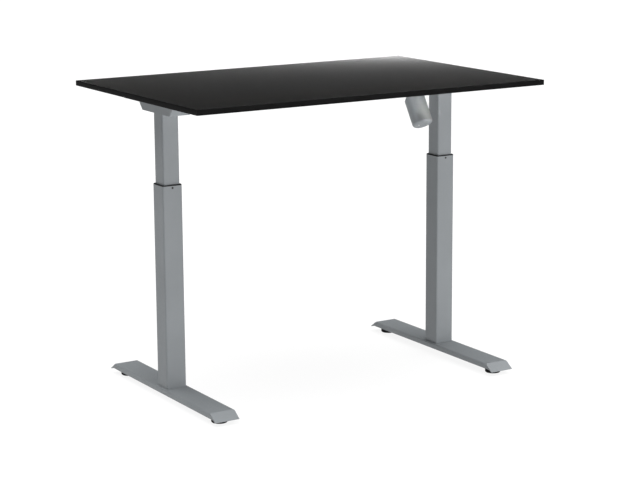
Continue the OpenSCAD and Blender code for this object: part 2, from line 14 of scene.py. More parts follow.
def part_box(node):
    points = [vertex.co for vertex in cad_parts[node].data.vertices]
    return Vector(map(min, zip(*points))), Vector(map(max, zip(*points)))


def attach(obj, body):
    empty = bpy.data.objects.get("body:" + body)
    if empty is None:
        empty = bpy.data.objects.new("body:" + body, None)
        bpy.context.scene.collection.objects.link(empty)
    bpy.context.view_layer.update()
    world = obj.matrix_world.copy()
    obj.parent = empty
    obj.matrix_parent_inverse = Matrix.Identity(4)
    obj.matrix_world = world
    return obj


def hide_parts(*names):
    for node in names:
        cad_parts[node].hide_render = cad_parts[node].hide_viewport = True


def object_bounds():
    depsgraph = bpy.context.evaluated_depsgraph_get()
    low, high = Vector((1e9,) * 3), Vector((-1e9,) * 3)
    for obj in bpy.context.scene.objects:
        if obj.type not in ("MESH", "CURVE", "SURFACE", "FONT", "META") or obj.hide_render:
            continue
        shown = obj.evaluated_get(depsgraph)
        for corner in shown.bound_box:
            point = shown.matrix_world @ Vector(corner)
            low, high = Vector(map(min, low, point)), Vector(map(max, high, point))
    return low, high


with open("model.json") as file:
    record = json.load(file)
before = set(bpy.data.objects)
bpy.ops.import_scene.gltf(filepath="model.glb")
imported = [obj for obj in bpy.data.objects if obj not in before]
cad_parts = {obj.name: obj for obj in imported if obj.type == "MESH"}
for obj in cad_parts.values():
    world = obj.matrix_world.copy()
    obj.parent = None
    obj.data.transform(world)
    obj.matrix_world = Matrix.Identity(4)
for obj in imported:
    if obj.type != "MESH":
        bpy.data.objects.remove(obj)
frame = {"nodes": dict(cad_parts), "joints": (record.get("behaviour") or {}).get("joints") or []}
cad_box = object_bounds()

MM = 0.001
SPECK = 0.001 * MM      # points closer than this are one point
NODES = frame["nodes"]
JOINTS = {joint["name"]: joint for joint in frame["joints"]}


# ---------------------------------------------------------------- camera

# In front of the desk, to its left and above its top, with a long lens
CAMERA_PLACE = (-3.014, -4.994, 1.660)
CAMERA_YAW = 31.42      # degrees from +Y towards +X
CAMERA_PITCH = 11.90    # degrees down
CAMERA_ROLL = -0.36     # degrees about the line of sight
CAMERA_LENS = 107.1     # mm, on the default 36 mm sensor


def make_camera():
    """The camera: turned to its heading, then tipped down, then rolled."""
    data = bpy.data.cameras.new("studio_camera")
    data.lens = CAMERA_LENS
    camera = bpy.data.objects.new("studio_camera", data)
    bpy.context.scene.collection.objects.link(camera)
    turn = Matrix.Rotation(math.radians(-CAMERA_YAW), 4, "Z")
    nod = Matrix.Rotation(math.radians(90 - CAMERA_PITCH), 4, "X")
    roll = Matrix.Rotation(math.radians(CAMERA_ROLL), 4, "Z")
    camera.matrix_world = Matrix.Translation(CAMERA_PLACE) @ turn @ nod @ roll
    bpy.context.scene.camera = camera


# ---------------------------------------------------------------- finishes

NOISE_RANGE = (0.3, 0.7)    # where nearly all of a noise pattern's values lie


class Finish:
    """A material being made. Its patterns are laid out in the object's own coordinates, in metres."""

    def __init__(self, name, colour, roughness, metallic=0.0):
        self.material = bpy.data.materials.new(name)
        self.material.use_nodes = True
        self.tree = self.material.node_tree
        self.shader = self.tree.nodes["Principled BSDF"]
        self.shader.inputs["Base Color"].default_value = (*colour, 1.0)
        self.shader.inputs["Roughness"].default_value = roughness
        self.shader.inputs["Metallic"].default_value = metallic
        self.coords = self.tree.nodes.new("ShaderNodeTexCoord").outputs["Object"]
        self.normal = None

    def link(self, output, socket):
        self.tree.links.new(output, socket)

    def set(self, **values):
        """Sets the shader's own sockets, named with _ for each space."""
        for name, value in values.items():
            self.shader.inputs[name.replace("_", " ")].default_value = value

    def noise(self, size, stretch=(1, 1, 1), detail=2.0):
        """Noise from 0 to 1 whose features are about size metres across, times stretch."""
        mapping = self.tree.nodes.new("ShaderNodeMapping")
        mapping.inputs["Scale"].default_value = [1 / (size * s) for s in stretch]
        self.link(self.coords, mapping.inputs["Vector"])
        noise = self.tree.nodes.new("ShaderNodeTexNoise")
        noise.inputs["Scale"].default_value = 1.0
        noise.inputs["Detail"].default_value = detail
        self.link(mapping.outputs["Vector"], noise.inputs["Vector"])
        return noise.outputs["Fac"]

    def grains(self, size):
        """Rounded cells about size metres across: 0 in the middle of each and 1 at its border."""
        cells = self.tree.nodes.new("ShaderNodeTexVoronoi")
        cells.inputs["Scale"].default_value = 1 / size
        self.link(self.coords, cells.inputs["Vector"])
        return cells.outputs["Distance"]

    def vary_colour(self, pattern, dark, light):
        """Runs the colour from dark to light over the middle of the pattern's range."""
        ramp = self.tree.nodes.new("ShaderNodeValToRGB")
        for stop, place, colour in zip(ramp.color_ramp.elements, NOISE_RANGE, (dark, light)):
            stop.position = place
            stop.color = (*colour, 1.0)
        self.link(pattern, ramp.inputs["Fac"])
        self.link(ramp.outputs["Color"], self.shader.inputs["Base Color"])

    def vary_roughness(self, pattern, low, high):
        """Runs the roughness from low to high over the middle of the pattern's range."""
        scale = self.tree.nodes.new("ShaderNodeMapRange")
        scale.inputs["From Min"].default_value, scale.inputs["From Max"].default_value = NOISE_RANGE
        scale.inputs["To Min"].default_value = low
        scale.inputs["To Max"].default_value = high
        self.link(pattern, scale.inputs["Value"])
        self.link(scale.outputs["Result"], self.shader.inputs["Roughness"])

    def bump(self, pattern, depth):
        """Adds relief of about depth metres to what is there already."""
        bump = self.tree.nodes.new("ShaderNodeBump")
        bump.inputs["Distance"].default_value = depth
        self.link(pattern, bump.inputs["Height"])
        if self.normal:
            self.link(self.normal, bump.inputs["Normal"])
        self.normal = bump.outputs["Normal"]
        self.link(self.normal, self.shader.inputs["Normal"])


def shade(colour, factor):
    """The colour made darker or lighter by factor."""
    return tuple(c * factor for c in colour)


def laminate():
    """Matt melamine: almost black, with a fine pebble that spreads the light."""
    finish = Finish("black_laminate_finish", (0.005, 0.0047, 0.0045), 0.30)
    finish.vary_colour(finish.noise(0.25), (0.0045, 0.0043, 0.0041), (0.0055, 0.0052, 0.0050))
    finish.vary_roughness(finish.noise(3 * MM), 0.28, 0.32)
    finish.bump(finish.noise(0.9 * MM), 0.010 * MM)
    finish.bump(finish.grains(1.6 * MM), 0.008 * MM)
    finish.set(Specular_IOR_Level=0.10)
    return finish.material


def edge_band_plastic():
    """Edge band with faint drawing lines along it."""
    finish = Finish("black_edge_finish", (0.004, 0.004, 0.004), 0.5)
    finish.vary_colour(finish.noise(0.05), (0.003, 0.003, 0.003), (0.005, 0.005, 0.005))
    finish.vary_roughness(finish.noise(0.8 * MM, (30, 30, 1)), 0.46, 0.54)
    finish.bump(finish.noise(0.6 * MM, (40, 40, 1)), 0.003 * MM)
    finish.set(Specular_IOR_Level=0.03)
    return finish.material


def powder_coat():
    """Light grey powder coat with the fine orange peel of a baked paint."""
    grey = (0.224, 0.240, 0.252)
    finish = Finish("grey_powder_coat_finish", grey, 0.5)
    finish.vary_colour(finish.noise(0.12, detail=4.0), shade(grey, 0.965), shade(grey, 1.035))
    finish.vary_roughness(finish.noise(6 * MM), 0.46, 0.56)
    finish.bump(finish.noise(1.3 * MM), 0.035 * MM)
    finish.bump(finish.noise(0.35 * MM), 0.010 * MM)
    finish.set(Specular_IOR_Level=0.4)
    return finish.material


def cast_alloy():
    """Die-cast aluminium: dull, slightly grainy, with cloudy flow marks."""
    finish = Finish("cast_alloy_finish", (0.42, 0.43, 0.44), 0.5, metallic=0.8)
    finish.vary_colour(finish.noise(12 * MM, detail=5.0), (0.33, 0.34, 0.35), (0.48, 0.49, 0.50))
    finish.vary_roughness(finish.noise(3 * MM), 0.42, 0.62)
    finish.bump(finish.noise(0.8 * MM, detail=4.0), 0.05 * MM)
    return finish.material


def moulded_black():
    """Black ABS with a fine spark-eroded grain."""
    finish = Finish("black_plastic_finish", (0.008, 0.008, 0.009), 0.5)
    finish.vary_colour(finish.noise(0.04), (0.006, 0.006, 0.007), (0.010, 0.010, 0.011))
    finish.vary_roughness(finish.noise(2 * MM), 0.42, 0.55)
    finish.bump(finish.grains(0.5 * MM), 0.02 * MM)
    finish.set(Specular_IOR_Level=0.08)
    return finish.material


def black_steel():
    """Black oxide on sheet and screws, a little brown where it is thin."""
    finish = Finish("black_steel_finish", (0.010, 0.009, 0.008), 0.42, metallic=0.4)
    finish.vary_colour(finish.noise(8 * MM, detail=4.0), (0.006, 0.006, 0.006), (0.016, 0.014, 0.012))
    finish.vary_roughness(finish.noise(2.5 * MM), 0.34, 0.5)
    finish.bump(finish.noise(0.5 * MM), 0.01 * MM)
    return finish.material


def zinc_plate():
    """Bright zinc with the faint blue and yellow tints of its passivation."""
    finish = Finish("zinc_steel_finish", (0.6, 0.61, 0.62), 0.3, metallic=1.0)
    finish.vary_colour(finish.noise(5 * MM, detail=3.0), (0.52, 0.55, 0.60), (0.66, 0.64, 0.58))
    finish.vary_roughness(finish.noise(1.5 * MM), 0.22, 0.38)
    finish.bump(finish.noise(0.4 * MM), 0.006 * MM)
    return finish.material


def bare_steel():
    """Drawn steel under a thin film of oil, with fine lines along the vertical."""
    finish = Finish("bare_steel_finish", (0.42, 0.42, 0.43), 0.32, metallic=1.0)
    finish.vary_colour(finish.noise(1.2 * MM, (1, 1, 60)), (0.34, 0.34, 0.35), (0.47, 0.47, 0.47))
    finish.vary_roughness(finish.noise(10 * MM, detail=4.0), 0.24, 0.42)
    finish.bump(finish.noise(0.5 * MM, (1, 1, 80)), 0.008 * MM)
    return finish.material


def acetal():
    """White acetal: slightly translucent and waxy."""
    finish = Finish("white_acetal_finish", (0.82, 0.81, 0.77), 0.38)
    finish.vary_colour(finish.noise(15 * MM), (0.78, 0.77, 0.72), (0.85, 0.84, 0.81))
    finish.vary_roughness(finish.noise(2 * MM), 0.32, 0.45)
    finish.bump(finish.noise(0.7 * MM, (3, 3, 0.5)), 0.008 * MM)
    finish.set(Subsurface_Weight=0.15, Subsurface_Scale=1.5 * MM)
    return finish.material


def machined_brass():
    """Cut brass with fine tool marks."""
    finish = Finish("gear_brass_finish", (0.72, 0.52, 0.24), 0.28, metallic=1.0)
    finish.vary_colour(finish.noise(6 * MM, detail=3.0), (0.62, 0.43, 0.18), (0.78, 0.58, 0.29))
    finish.vary_roughness(finish.noise(1.0 * MM), 0.2, 0.36)
    finish.bump(finish.noise(0.3 * MM, (6, 1, 1)), 0.006 * MM)
    return finish.material


def enamelled_copper():
    """Enamelled winding wire: warm and glossy, with the ridges of single turns."""
    finish = Finish("rotor_copper_finish", (0.50, 0.22, 0.10), 0.25, metallic=0.9)
    finish.vary_colour(finish.noise(1.0 * MM, (1, 4, 4)), (0.38, 0.14, 0.06), (0.58, 0.27, 0.13))
    finish.vary_roughness(finish.noise(2 * MM), 0.18, 0.32)
    finish.bump(finish.noise(0.6 * MM, (1, 8, 8)), 0.08 * MM)
    finish.set(Coat_Weight=0.5, Coat_Roughness=0.15)
    return finish.material


def soft_grey():
    """Soft-touch grey plastic of the buttons."""
    finish = Finish("grey_button_finish", (0.28, 0.28, 0.29), 0.55)
    finish.vary_colour(finish.noise(10 * MM), (0.26, 0.26, 0.27), (0.30, 0.30, 0.31))
    finish.vary_roughness(finish.noise(1.5 * MM), 0.5, 0.62)
    finish.bump(finish.noise(0.25 * MM), 0.008 * MM)
    return finish.material


def make_finishes():
    """The material of each of the record's slots."""
    makers = {
        "black_laminate": laminate,
        "black_edge": edge_band_plastic,
        "grey_powder_coat": powder_coat,
        "cast_alloy": cast_alloy,
        "black_plastic": moulded_black,
        "black_steel": black_steel,
        "zinc_steel": zinc_plate,
        "bare_steel": bare_steel,
        "white_acetal": acetal,
        "gear_brass": machined_brass,
        "rotor_copper": enamelled_copper,
        "grey_button": soft_grey,
    }
    return {slot: make() for slot, make in makers.items()}


# ---------------------------------------------------------------- CAD nodes

# Radius in metres of the rounding given to the sharp edges of these nodes
EDGE_ROUNDING = {
    "left_support_arm": 1.5 * MM, "right_support_arm": 1.5 * MM,
    "cross_rails": 1.0 * MM, "rail_end_plates": 0.6 * MM, "motor_bracket": 0.8 * MM,
    "left_foot": 0.8 * MM, "right_foot": 0.8 * MM,
    "control_box": 1.5 * MM, "control_box_cover": 0.5 * MM, "mains_inlet": 0.5 * MM,
    "handset": 1.2 * MM, "handset_back": 0.6 * MM, "up_button": 0.6 * MM, "down_button": 0.6 * MM,
    "gearboxes": 1.2 * MM, "gearbox_lids": 0.5 * MM, "drive_housing": 0.8 * MM,
    "hex_shaft": 0.3 * MM, "left_front_glide": 0.8 * MM, "left_rear_glide": 0.8 * MM,
    "right_front_glide": 0.8 * MM, "right_rear_glide": 0.8 * MM,
}


def finish_cad_nodes(finishes):
    """Gives every CAD node its finishes. The imported materials are named after the slots."""
    for node in NODES.values():
        slots = node.data.materials
        for i, imported in enumerate(slots):
            slots[i] = finishes[imported.name.split(".")[0]]


def round_edges():
    """Folded and moulded edges get their small radii from modifiers."""
    for name, radius in EDGE_ROUNDING.items():
        weld = NODES[name].modifiers.new("weld", "WELD")
        weld.merge_threshold = 2 * SPECK
        bevel = NODES[name].modifiers.new("rounding", "BEVEL")
        bevel.width = radius
        bevel.segments = 2
        bevel.limit_method = "ANGLE"
        bevel.angle_limit = math.radians(35)


# ---------------------------------------------------------------- mesh tools

def make_piece(name, bm, body, slot, finishes, replaced=()):
    """Turns bm into an object that rides on body, in the finish of slot, instead of the replaced nodes."""
    bmesh.ops.remove_doubles(bm, verts=bm.verts, dist=SPECK)
    bmesh.ops.recalc_face_normals(bm, faces=bm.faces)
    mesh = bpy.data.meshes.new(name)
    bm.to_mesh(mesh)
    bm.free()
    mesh.shade_smooth()
    mesh.set_sharp_from_angle(angle=math.radians(32))
    mesh.materials.append(finishes[slot])
    piece = bpy.data.objects.new(name, mesh)
    bpy.context.scene.collection.objects.link(piece)
    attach(piece, body)
    if replaced:
        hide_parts(*replaced)
    return piece


def islands(node):
    """(lowest, highest) corner of each separate solid of a CAD node, from left to right."""
    bm = bmesh.new()
    bm.from_mesh(NODES[node].data)
    bmesh.ops.remove_doubles(bm, verts=bm.verts, dist=SPECK)
    unseen = set(bm.verts)
    found = []
    while unseen:
        stack = [unseen.pop()]
        members = []
        while stack:
            vert = stack.pop()
            members.append(vert.co.copy())
            for edge in vert.link_edges:
                other = edge.other_vert(vert)
                if other in unseen:
                    unseen.remove(other)
                    stack.append(other)
        low = Vector([min(co[i] for co in members) for i in range(3)])
        high = Vector([max(co[i] for co in members) for i in range(3)])
        found.append((low, high))
    bm.free()
    return sorted(found, key=lambda pair: tuple(round(c, 4) for c in pair[0]))


def placed(origin, z_axis):
    """Matrix that takes +Z to z_axis and the origin to origin."""
    turn = Vector(z_axis).to_track_quat("Z", "Y").to_matrix().to_4x4()
    return Matrix.Translation(origin) @ turn


def circle_points(radius, count):
    """Points evenly round a circle."""
    angles = [2 * math.pi * i / count for i in range(count)]
    return [Vector((radius * math.cos(a), radius * math.sin(a))) for a in angles]


def bridge(bm, lower, upper):
    """Joins two rings of as many vertices with quads."""
    count = len(lower)
    for i in range(count):
        j = (i + 1) % count
        bm.faces.new((lower[i], lower[j], upper[j], upper[i]))


def add_ring(bm, place, points, z):
    """New vertices at the outline's points, at height z of place."""
    return [bm.verts.new(place @ Vector((p.x, p.y, z))) for p in points]


def rectangle(low_x, low_y, high_x, high_y):
    """A rectangle's four corners."""
    corners = ((low_x, low_y), (high_x, low_y), (high_x, high_y), (low_x, high_y))
    return [Vector(corner) for corner in corners]


def close_prism(bm, lower, upper):
    """Joins two rings and covers both ends."""
    bridge(bm, lower, upper)
    bm.faces.new(lower)
    bm.faces.new(upper)


def turned(bm, place, profile, count=48, closed=False):
    """A shape turned on the Z axis of place, from (radius, height) pairs.

    A closed profile makes a ring; any other is capped at its first and last height.
    """
    rings = [add_ring(bm, place, circle_points(max(r, SPECK), count), z) for r, z in profile]
    for lower, upper in zip(rings, rings[1:]):
        bridge(bm, lower, upper)
    if closed:
        bridge(bm, rings[-1], rings[0])
    else:
        bm.faces.new(rings[0])
        bm.faces.new(rings[-1])


def extruded(bm, place, outline, z_from, z_to):
    """A closed prism from an outline of (x, y) points."""
    points = [Vector(p) for p in outline]
    close_prism(bm, add_ring(bm, place, points, z_from), add_ring(bm, place, points, z_to))


def threaded(bm, place, z_from, z_to, r_root, r_crest, pitch, starts=1, hand=1, count=36):
    """A rod with a trapezoidal thread. hand is 1 for a right-hand thread and -1 for a left-hand one.

    The thread is a grid of columns round the rod. Each column is the same profile, a little higher
    than the one before, and the last column meets the first one whole leads further on.
    """
    profile = [(0.0, r_root), (0.28, r_root), (0.45, r_crest), (0.83, r_crest)]
    lead = pitch * starts
    first = int(z_from / pitch) - starts - 1
    last = int(z_to / pitch) + starts + 1
    steps = [((turn + share) * pitch, r) for turn in range(first, last) for share, r in profile]
    rings_per_lead = len(profile) * starts
    columns = []
    for i in range(count):
        angle = 2 * math.pi * i / count
        rise = hand * lead * i / count
        column = []
        for z, r in steps:
            height = min(max(z + rise, z_from), z_to)
            spot = Vector((r * math.cos(angle), r * math.sin(angle), height))
            column.append(bm.verts.new(place @ spot))
        columns.append(column)
    for i in range(count):
        this = columns[i]
        following = columns[(i + 1) % count]
        shift = 0 if i + 1 < count else hand * rings_per_lead
        for k in range(len(steps) - 1):
            low, high = k + shift, k + 1 + shift
            if 0 <= low and high < len(steps):
                bm.faces.new((this[k], following[low], following[high], this[k + 1]))
    turned(bm, place, [(0, z_from), (r_root, z_from), (r_root, z_to), (0, z_to)], count)


def cross_outline(size):
    """Outline of a cross recess, size across its arms."""
    arm = size / 2
    half = size * 0.12      # half of an arm's width
    corner = [(arm, -half), (arm, half), (half, half)]
    points = []
    for quarter in range(4):
        turn = Matrix.Rotation(quarter * math.pi / 2, 2)
        points += [turn @ Vector(p) for p in corner]
    return points


def hex_outline(across_flats):
    """Outline of a hexagon socket."""
    return circle_points(across_flats / math.sqrt(3), 6)


def screw_head(bm, place, radius, height, recess, depth, domed=0.25):
    """A screw's head that stands on the plane of place, with a recess of the given outline in its top.

    domed is the share of the height that its rounded upper edge takes.
    """
    shoulder = height * (1 - domed)
    rim = radius * (1 - 0.5 * domed)
    profile = [
        (radius, 0), (radius, shoulder),
        ((radius + rim) / 2, height - (height - shoulder) * 0.3), (rim, height),
    ]
    rings = [add_ring(bm, place, circle_points(r, 32), z) for r, z in profile]
    for lower, upper in zip(rings, rings[1:]):
        bridge(bm, lower, upper)
    bm.faces.new(rings[0])
    recess_taper = 0.85
    mouth = add_ring(bm, place, recess, height)
    floor = add_ring(bm, place, [p * recess_taper for p in recess], height - depth)
    bridge(bm, mouth, floor)
    bm.faces.new(floor)
    edges = []
    for ring in (rings[-1], mouth):
        for a, b in zip(ring, ring[1:] + ring[:1]):
            edges.append(bm.edges.get((a, b)) or bm.edges.new((a, b)))
    bmesh.ops.triangle_fill(bm, use_beauty=True, edges=edges)


# ---------------------------------------------------------------- top

def rounded_edge_band(finishes):
    """The edge band, its outer edges rounded by a small radius as a trimmed band's are."""
    low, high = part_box("edge_band")
    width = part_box("table_top")[0].x - low.x
    radius = 0.8 * MM
    arc = [math.radians(a) for a in (0, 30, 60, 90)]
    profile = [(width, low.z)]
    profile += [(radius * (1 - math.sin(a)), low.z + radius * (1 - math.cos(a))) for a in arc]
    profile += [(radius * (1 - math.cos(a)), high.z - radius * (1 - math.sin(a))) for a in arc]
    profile += [(width, high.z)]
    bm = bmesh.new()
    rings = []
    for inset, z in profile:
        corners = rectangle(low.x + inset, low.y + inset, high.x - inset, high.y - inset)
        rings.append(add_ring(bm, Matrix(), corners, z))
    for lower, upper in zip(rings, rings[1:] + rings[:1]):
        bridge(bm, lower, upper)
    make_piece("rounded_edge_band", bm, "upper_frame", "black_edge", finishes, ["edge_band"])


# ---------------------------------------------------------------- screws

# Root radius, crest radius and pitch, in metres
MACHINE_THREAD = (1.6 * MM, 2.0 * MM, 0.7 * MM)
WOOD_THREAD = (1.5 * MM, 2.2 * MM, 1.8 * MM)


def rim_screws(finishes):
    """Pan heads with a hexagon socket, one at the top of each outer tube."""
    head_h = 1.2 * MM
    for side in ("left", "right"):
        low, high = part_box(f"{side}_rim_screw")
        radius = (high.x - low.x) / 2
        centre = (low + high) / 2
        at_face = placed((centre.x, low.y + head_h, centre.z), (0, -1, 0))
        bm = bmesh.new()
        screw_head(bm, at_face, radius, head_h, hex_outline(2.4 * MM), 0.9 * MM)
        threaded(bm, at_face, -(high.y - low.y - head_h), 0, *MACHINE_THREAD, count=20)
        make_piece(f"{side}_rim_socket_screw", bm, f"{side}_base", "black_steel", finishes,
                   [f"{side}_rim_screw"])


def cross_head_wood_screws(finishes):
    """Pan-head wood screws with a cross recess, seen from below."""
    bm = bmesh.new()
    head_h = 2.5 * MM
    for low, high in islands("wood_screws"):
        centre = (low + high) / 2
        radius = (high.x - low.x) / 2
        down = placed((centre.x, centre.y, low.z + head_h), (0, 0, -1))
        screw_head(bm, down, radius, head_h, cross_outline(radius * 1.1), 1.5 * MM, domed=0.4)
        threaded(bm, down, -(high.z - low.z - head_h), 0, *WOOD_THREAD, count=16)
    make_piece("cross_head_wood_screws", bm, "upper_frame", "zinc_steel", finishes, ["wood_screws"])


def cross_head_bracket_screws(finishes):
    """Pan heads of the motor bracket's screws, each turned the way that its CAD solid lies."""
    bm = bmesh.new()
    drive_y = JOINTS["cross_shaft_spin"]["pos_m"][1]
    head_h = 2.2 * MM
    for low, high in islands("bracket_screws"):
        centre = (low + high) / 2
        span = high - low
        radius = span.z / 2
        if span.x > span.y:
            place = placed((high.x - head_h, centre.y, centre.z), (1, 0, 0))
        elif centre.y > drive_y:
            place = placed((centre.x, low.y + head_h, centre.z), (0, -1, 0))
        else:
            place = placed((centre.x, high.y - head_h, centre.z), (0, 1, 0))
        screw_head(bm, place, radius, head_h, cross_outline(radius * 1.1), 1.3 * MM, domed=0.4)
        threaded(bm, place, -(max(span.x, span.y) - head_h), 0, *MACHINE_THREAD, count=16)
    make_piece("cross_head_bracket_screws", bm, "upper_frame", "zinc_steel", finishes,
               ["bracket_screws"])


# ---------------------------------------------------------------- lead screws, bearings and rotor

def lead_screws(finishes):
    """Three-start trapezoidal threads up to just below the bearings, with a plain journal on top.

    The right-hand leg's screw has a left-hand thread.
    """
    starts = 3
    pitch = 4 * MM
    thread_h = 1.5 * MM
    journal = 6 * MM
    chamfer = 1 * MM
    thread_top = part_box("screw_bearings")[0].z - 6 * MM
    for side, hand in (("left", 1), ("right", -1)):
        low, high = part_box(f"{side}_lead_screw")
        crest = (high.x - low.x) / 2
        root = crest - thread_h
        axis = Matrix.Translation(((low.x + high.x) / 2, 0, 0))
        bm = bmesh.new()
        threaded(bm, axis, low.z + 1.5 * MM, thread_top, root, crest, pitch, starts, hand)
        turned(bm, axis, [
            (0, low.z), (root - chamfer, low.z), (root, low.z + chamfer), (root, low.z + 3 * MM),
            (0, low.z + 3 * MM)
        ])
        turned(bm, axis, [
            (0, thread_top - 1 * MM), (crest, thread_top - 1 * MM), (crest, thread_top),
            (journal, thread_top + 1.5 * MM), (journal, high.z - 0.5 * MM),
            (journal - 0.5 * MM, high.z), (0, high.z)
        ])
        make_piece(f"{side}_threaded_lead_screw", bm, f"{side}_screw", "bare_steel", finishes,
                   [f"{side}_lead_screw"])


def ball_bearings(finishes):
    """Ball bearings without their seals: grooved rings, a cage of two hoops and eight balls each."""
    inner = 6.06 * MM       # bore radius: the screw's journal with a hair's clearance
    ring_wall = 2.4 * MM
    ball = 2.1 * MM
    hoop_half_w = 0.7 * MM
    hoop_half_h = 0.2 * MM
    races = bmesh.new()
    cages = bmesh.new()
    for low, high in islands("screw_bearings"):
        centre = Vector(((low.x + high.x) / 2, (low.y + high.y) / 2, low.z))
        place = Matrix.Translation(centre)
        outer = (high.x - low.x) / 2
        height = high.z - low.z
        track = (outer + inner) / 2
        for wall, shoulder, groove in (
            (outer, outer - ring_wall, track + ball),
            (inner, inner + ring_wall, track - ball),
        ):
            turned(races, place, [
                (wall, 0), (shoulder, 0), (shoulder, height * 0.3), (groove, height * 0.42),
                (groove, height * 0.58), (shoulder, height * 0.7), (shoulder, height), (wall, height)
            ], closed=True)
        for spot in circle_points(track, 8):
            middle = Matrix.Translation(centre + Vector((spot.x, spot.y, height / 2)))
            bmesh.ops.create_uvsphere(races, u_segments=20, v_segments=12, radius=ball, matrix=middle)
        for z in (height / 2 - 1.2 * MM, height / 2 + 1.2 * MM):
            turned(cages, place, [
                (track - hoop_half_w, z - hoop_half_h), (track + hoop_half_w, z - hoop_half_h),
                (track + hoop_half_w, z + hoop_half_h), (track - hoop_half_w, z + hoop_half_h)
            ], closed=True)
    make_piece("ball_races", races, "upper_frame", "bare_steel", finishes, ["screw_bearings"])
    make_piece("ball_cages", cages, "upper_frame", "gear_brass", finishes)


# The armature, in distances along the rotor's axis from the middle of its worm
WORM_HALF = 13 * MM
CORE_FROM = 56 * MM
CORE_TO = 86 * MM
SHAFT_END = 116 * MM
CORE_TEETH = 12


def rotor_axis():
    """Matrix whose origin is the worm's middle and whose Z axis is the motor's, away from the worm."""
    spin = JOINTS["rotor_spin"]
    return placed(spin["pos_m"], spin["axis"])


def round_teeth(tooth):
    """Outline of CORE_TEETH teeth, from one tooth's (share of its pitch, radius) pairs."""
    outline = []
    for i in range(CORE_TEETH):
        for share, r in tooth:
            angle = (i + share) * 2 * math.pi / CORE_TEETH
            outline.append((r * math.cos(angle), r * math.sin(angle)))
    return outline


def worm_shaft(finishes):
    """The rotor's shaft with its two-start worm."""
    root, crest, pitch = 5.4 * MM, 7.5 * MM, 4.45 * MM
    journal = 4 * MM
    bm = bmesh.new()
    threaded(bm, rotor_axis(), -WORM_HALF, WORM_HALF, root, crest, pitch, starts=2)
    turned(bm, rotor_axis(), [
        (0, WORM_HALF - 1 * MM), (root, WORM_HALF - 1 * MM), (journal, WORM_HALF + 1.5 * MM),
        (journal, SHAFT_END - 1 * MM), (journal - 0.8 * MM, SHAFT_END), (0, SHAFT_END)
    ])
    make_piece("worm_shaft", bm, "rotor", "bare_steel", finishes, ["motor_rotor"])


def armature_core(finishes):
    """The laminated core, with slots that are narrow at their mouth and wide inside."""
    outer = 12 * MM
    tip = outer - 1.2 * MM
    throat = outer - 1.6 * MM
    slot_floor = outer - 6 * MM
    tooth = (
        (0.10, outer), (0.34, outer), (0.60, outer), (0.84, outer), (0.86, tip), (0.74, throat),
        (0.70, slot_floor), (1.24, slot_floor), (1.20, throat), (1.08, tip),
    )
    bm = bmesh.new()
    extruded(bm, rotor_axis(), round_teeth(tooth), CORE_FROM, CORE_TO)
    make_piece("armature_core", bm, "rotor", "bare_steel", finishes)


def armature_windings(finishes):
    """The coils' ends: a lumpy ring of wire at each end of the core."""
    count = 96
    length = 7 * MM
    lump = 0.06
    # (share of the length, radius in mm)
    profile = ((0.0, 10.6), (0.45, 10.9), (0.8, 9.8), (1.0, 8.0), (0.9, 5.6), (0.0, 4.6))
    bm = bmesh.new()
    for near, far in ((CORE_FROM, CORE_FROM - length), (CORE_TO, CORE_TO + length)):
        rings = []
        for share, r in profile:
            points = []
            for i, p in enumerate(circle_points(1.0, count)):
                swell = 1 + lump * math.cos(CORE_TEETH * 2 * math.pi * i / count)
                points.append(p * r * MM * swell)
            rings.append(add_ring(bm, rotor_axis(), points, near + (far - near) * share))
        for lower, upper in zip(rings, rings[1:] + rings[:1]):
            bridge(bm, lower, upper)
    make_piece("armature_windings", bm, "rotor", "rotor_copper", finishes)


def commutator(finishes):
    """The commutator's bars, with a narrow gap between each two."""
    outer, gap_floor = 6.5 * MM, 5.6 * MM
    bar = ((0.04, outer), (0.34, outer), (0.66, outer), (0.96, outer), (0.97, gap_floor), (1.03, gap_floor))
    bm = bmesh.new()
    extruded(bm, rotor_axis(), round_teeth(bar), CORE_TO + 11 * MM, CORE_TO + 22 * MM)
    make_piece("commutator", bm, "rotor", "rotor_copper", finishes)


# ---------------------------------------------------------------- motor, control box, handset, glides

def motor_end_screws(finishes):
    """Two screw heads in the motor's end face."""
    to_axis = rotor_axis().inverted()
    motor_end = max((to_axis @ vert.co).z for vert in NODES["motor_housing"].data.vertices)
    off_axis = 16 * MM
    bm = bmesh.new()
    for x in (-off_axis, off_axis):
        head = rotor_axis() @ Matrix.Translation((x, 0, motor_end))
        screw_head(bm, head, 3 * MM, 1.6 * MM, cross_outline(3.4 * MM), 1.1 * MM, domed=0.4)
    make_piece("motor_end_screws", bm, "upper_frame", "zinc_steel", finishes)


def control_box_ribs(finishes):
    """Cooling ribs moulded on the control box's underside."""
    low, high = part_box("control_box")
    size = high - low
    count = 9
    first, spread = 0.30, 0.40      # shares of the box's width
    half_w = 0.8 * MM
    half_l = 0.3 * size.y
    crest_w, crest_l = 0.5 * half_w, 0.985 * half_l
    bm = bmesh.new()
    for i in range(count):
        x = low.x + size.x * (first + spread * i / (count - 1))
        place = Matrix.Translation((x, (low.y + high.y) / 2, low.z))
        at_case = add_ring(bm, place, rectangle(-half_w, -half_l, half_w, half_l), 0.2 * MM)
        at_crest = add_ring(bm, place, rectangle(-crest_w, -crest_l, crest_w, crest_l), -1.0 * MM)
        close_prism(bm, at_case, at_crest)
    make_piece("control_box_ribs", bm, "upper_frame", "black_plastic", finishes)


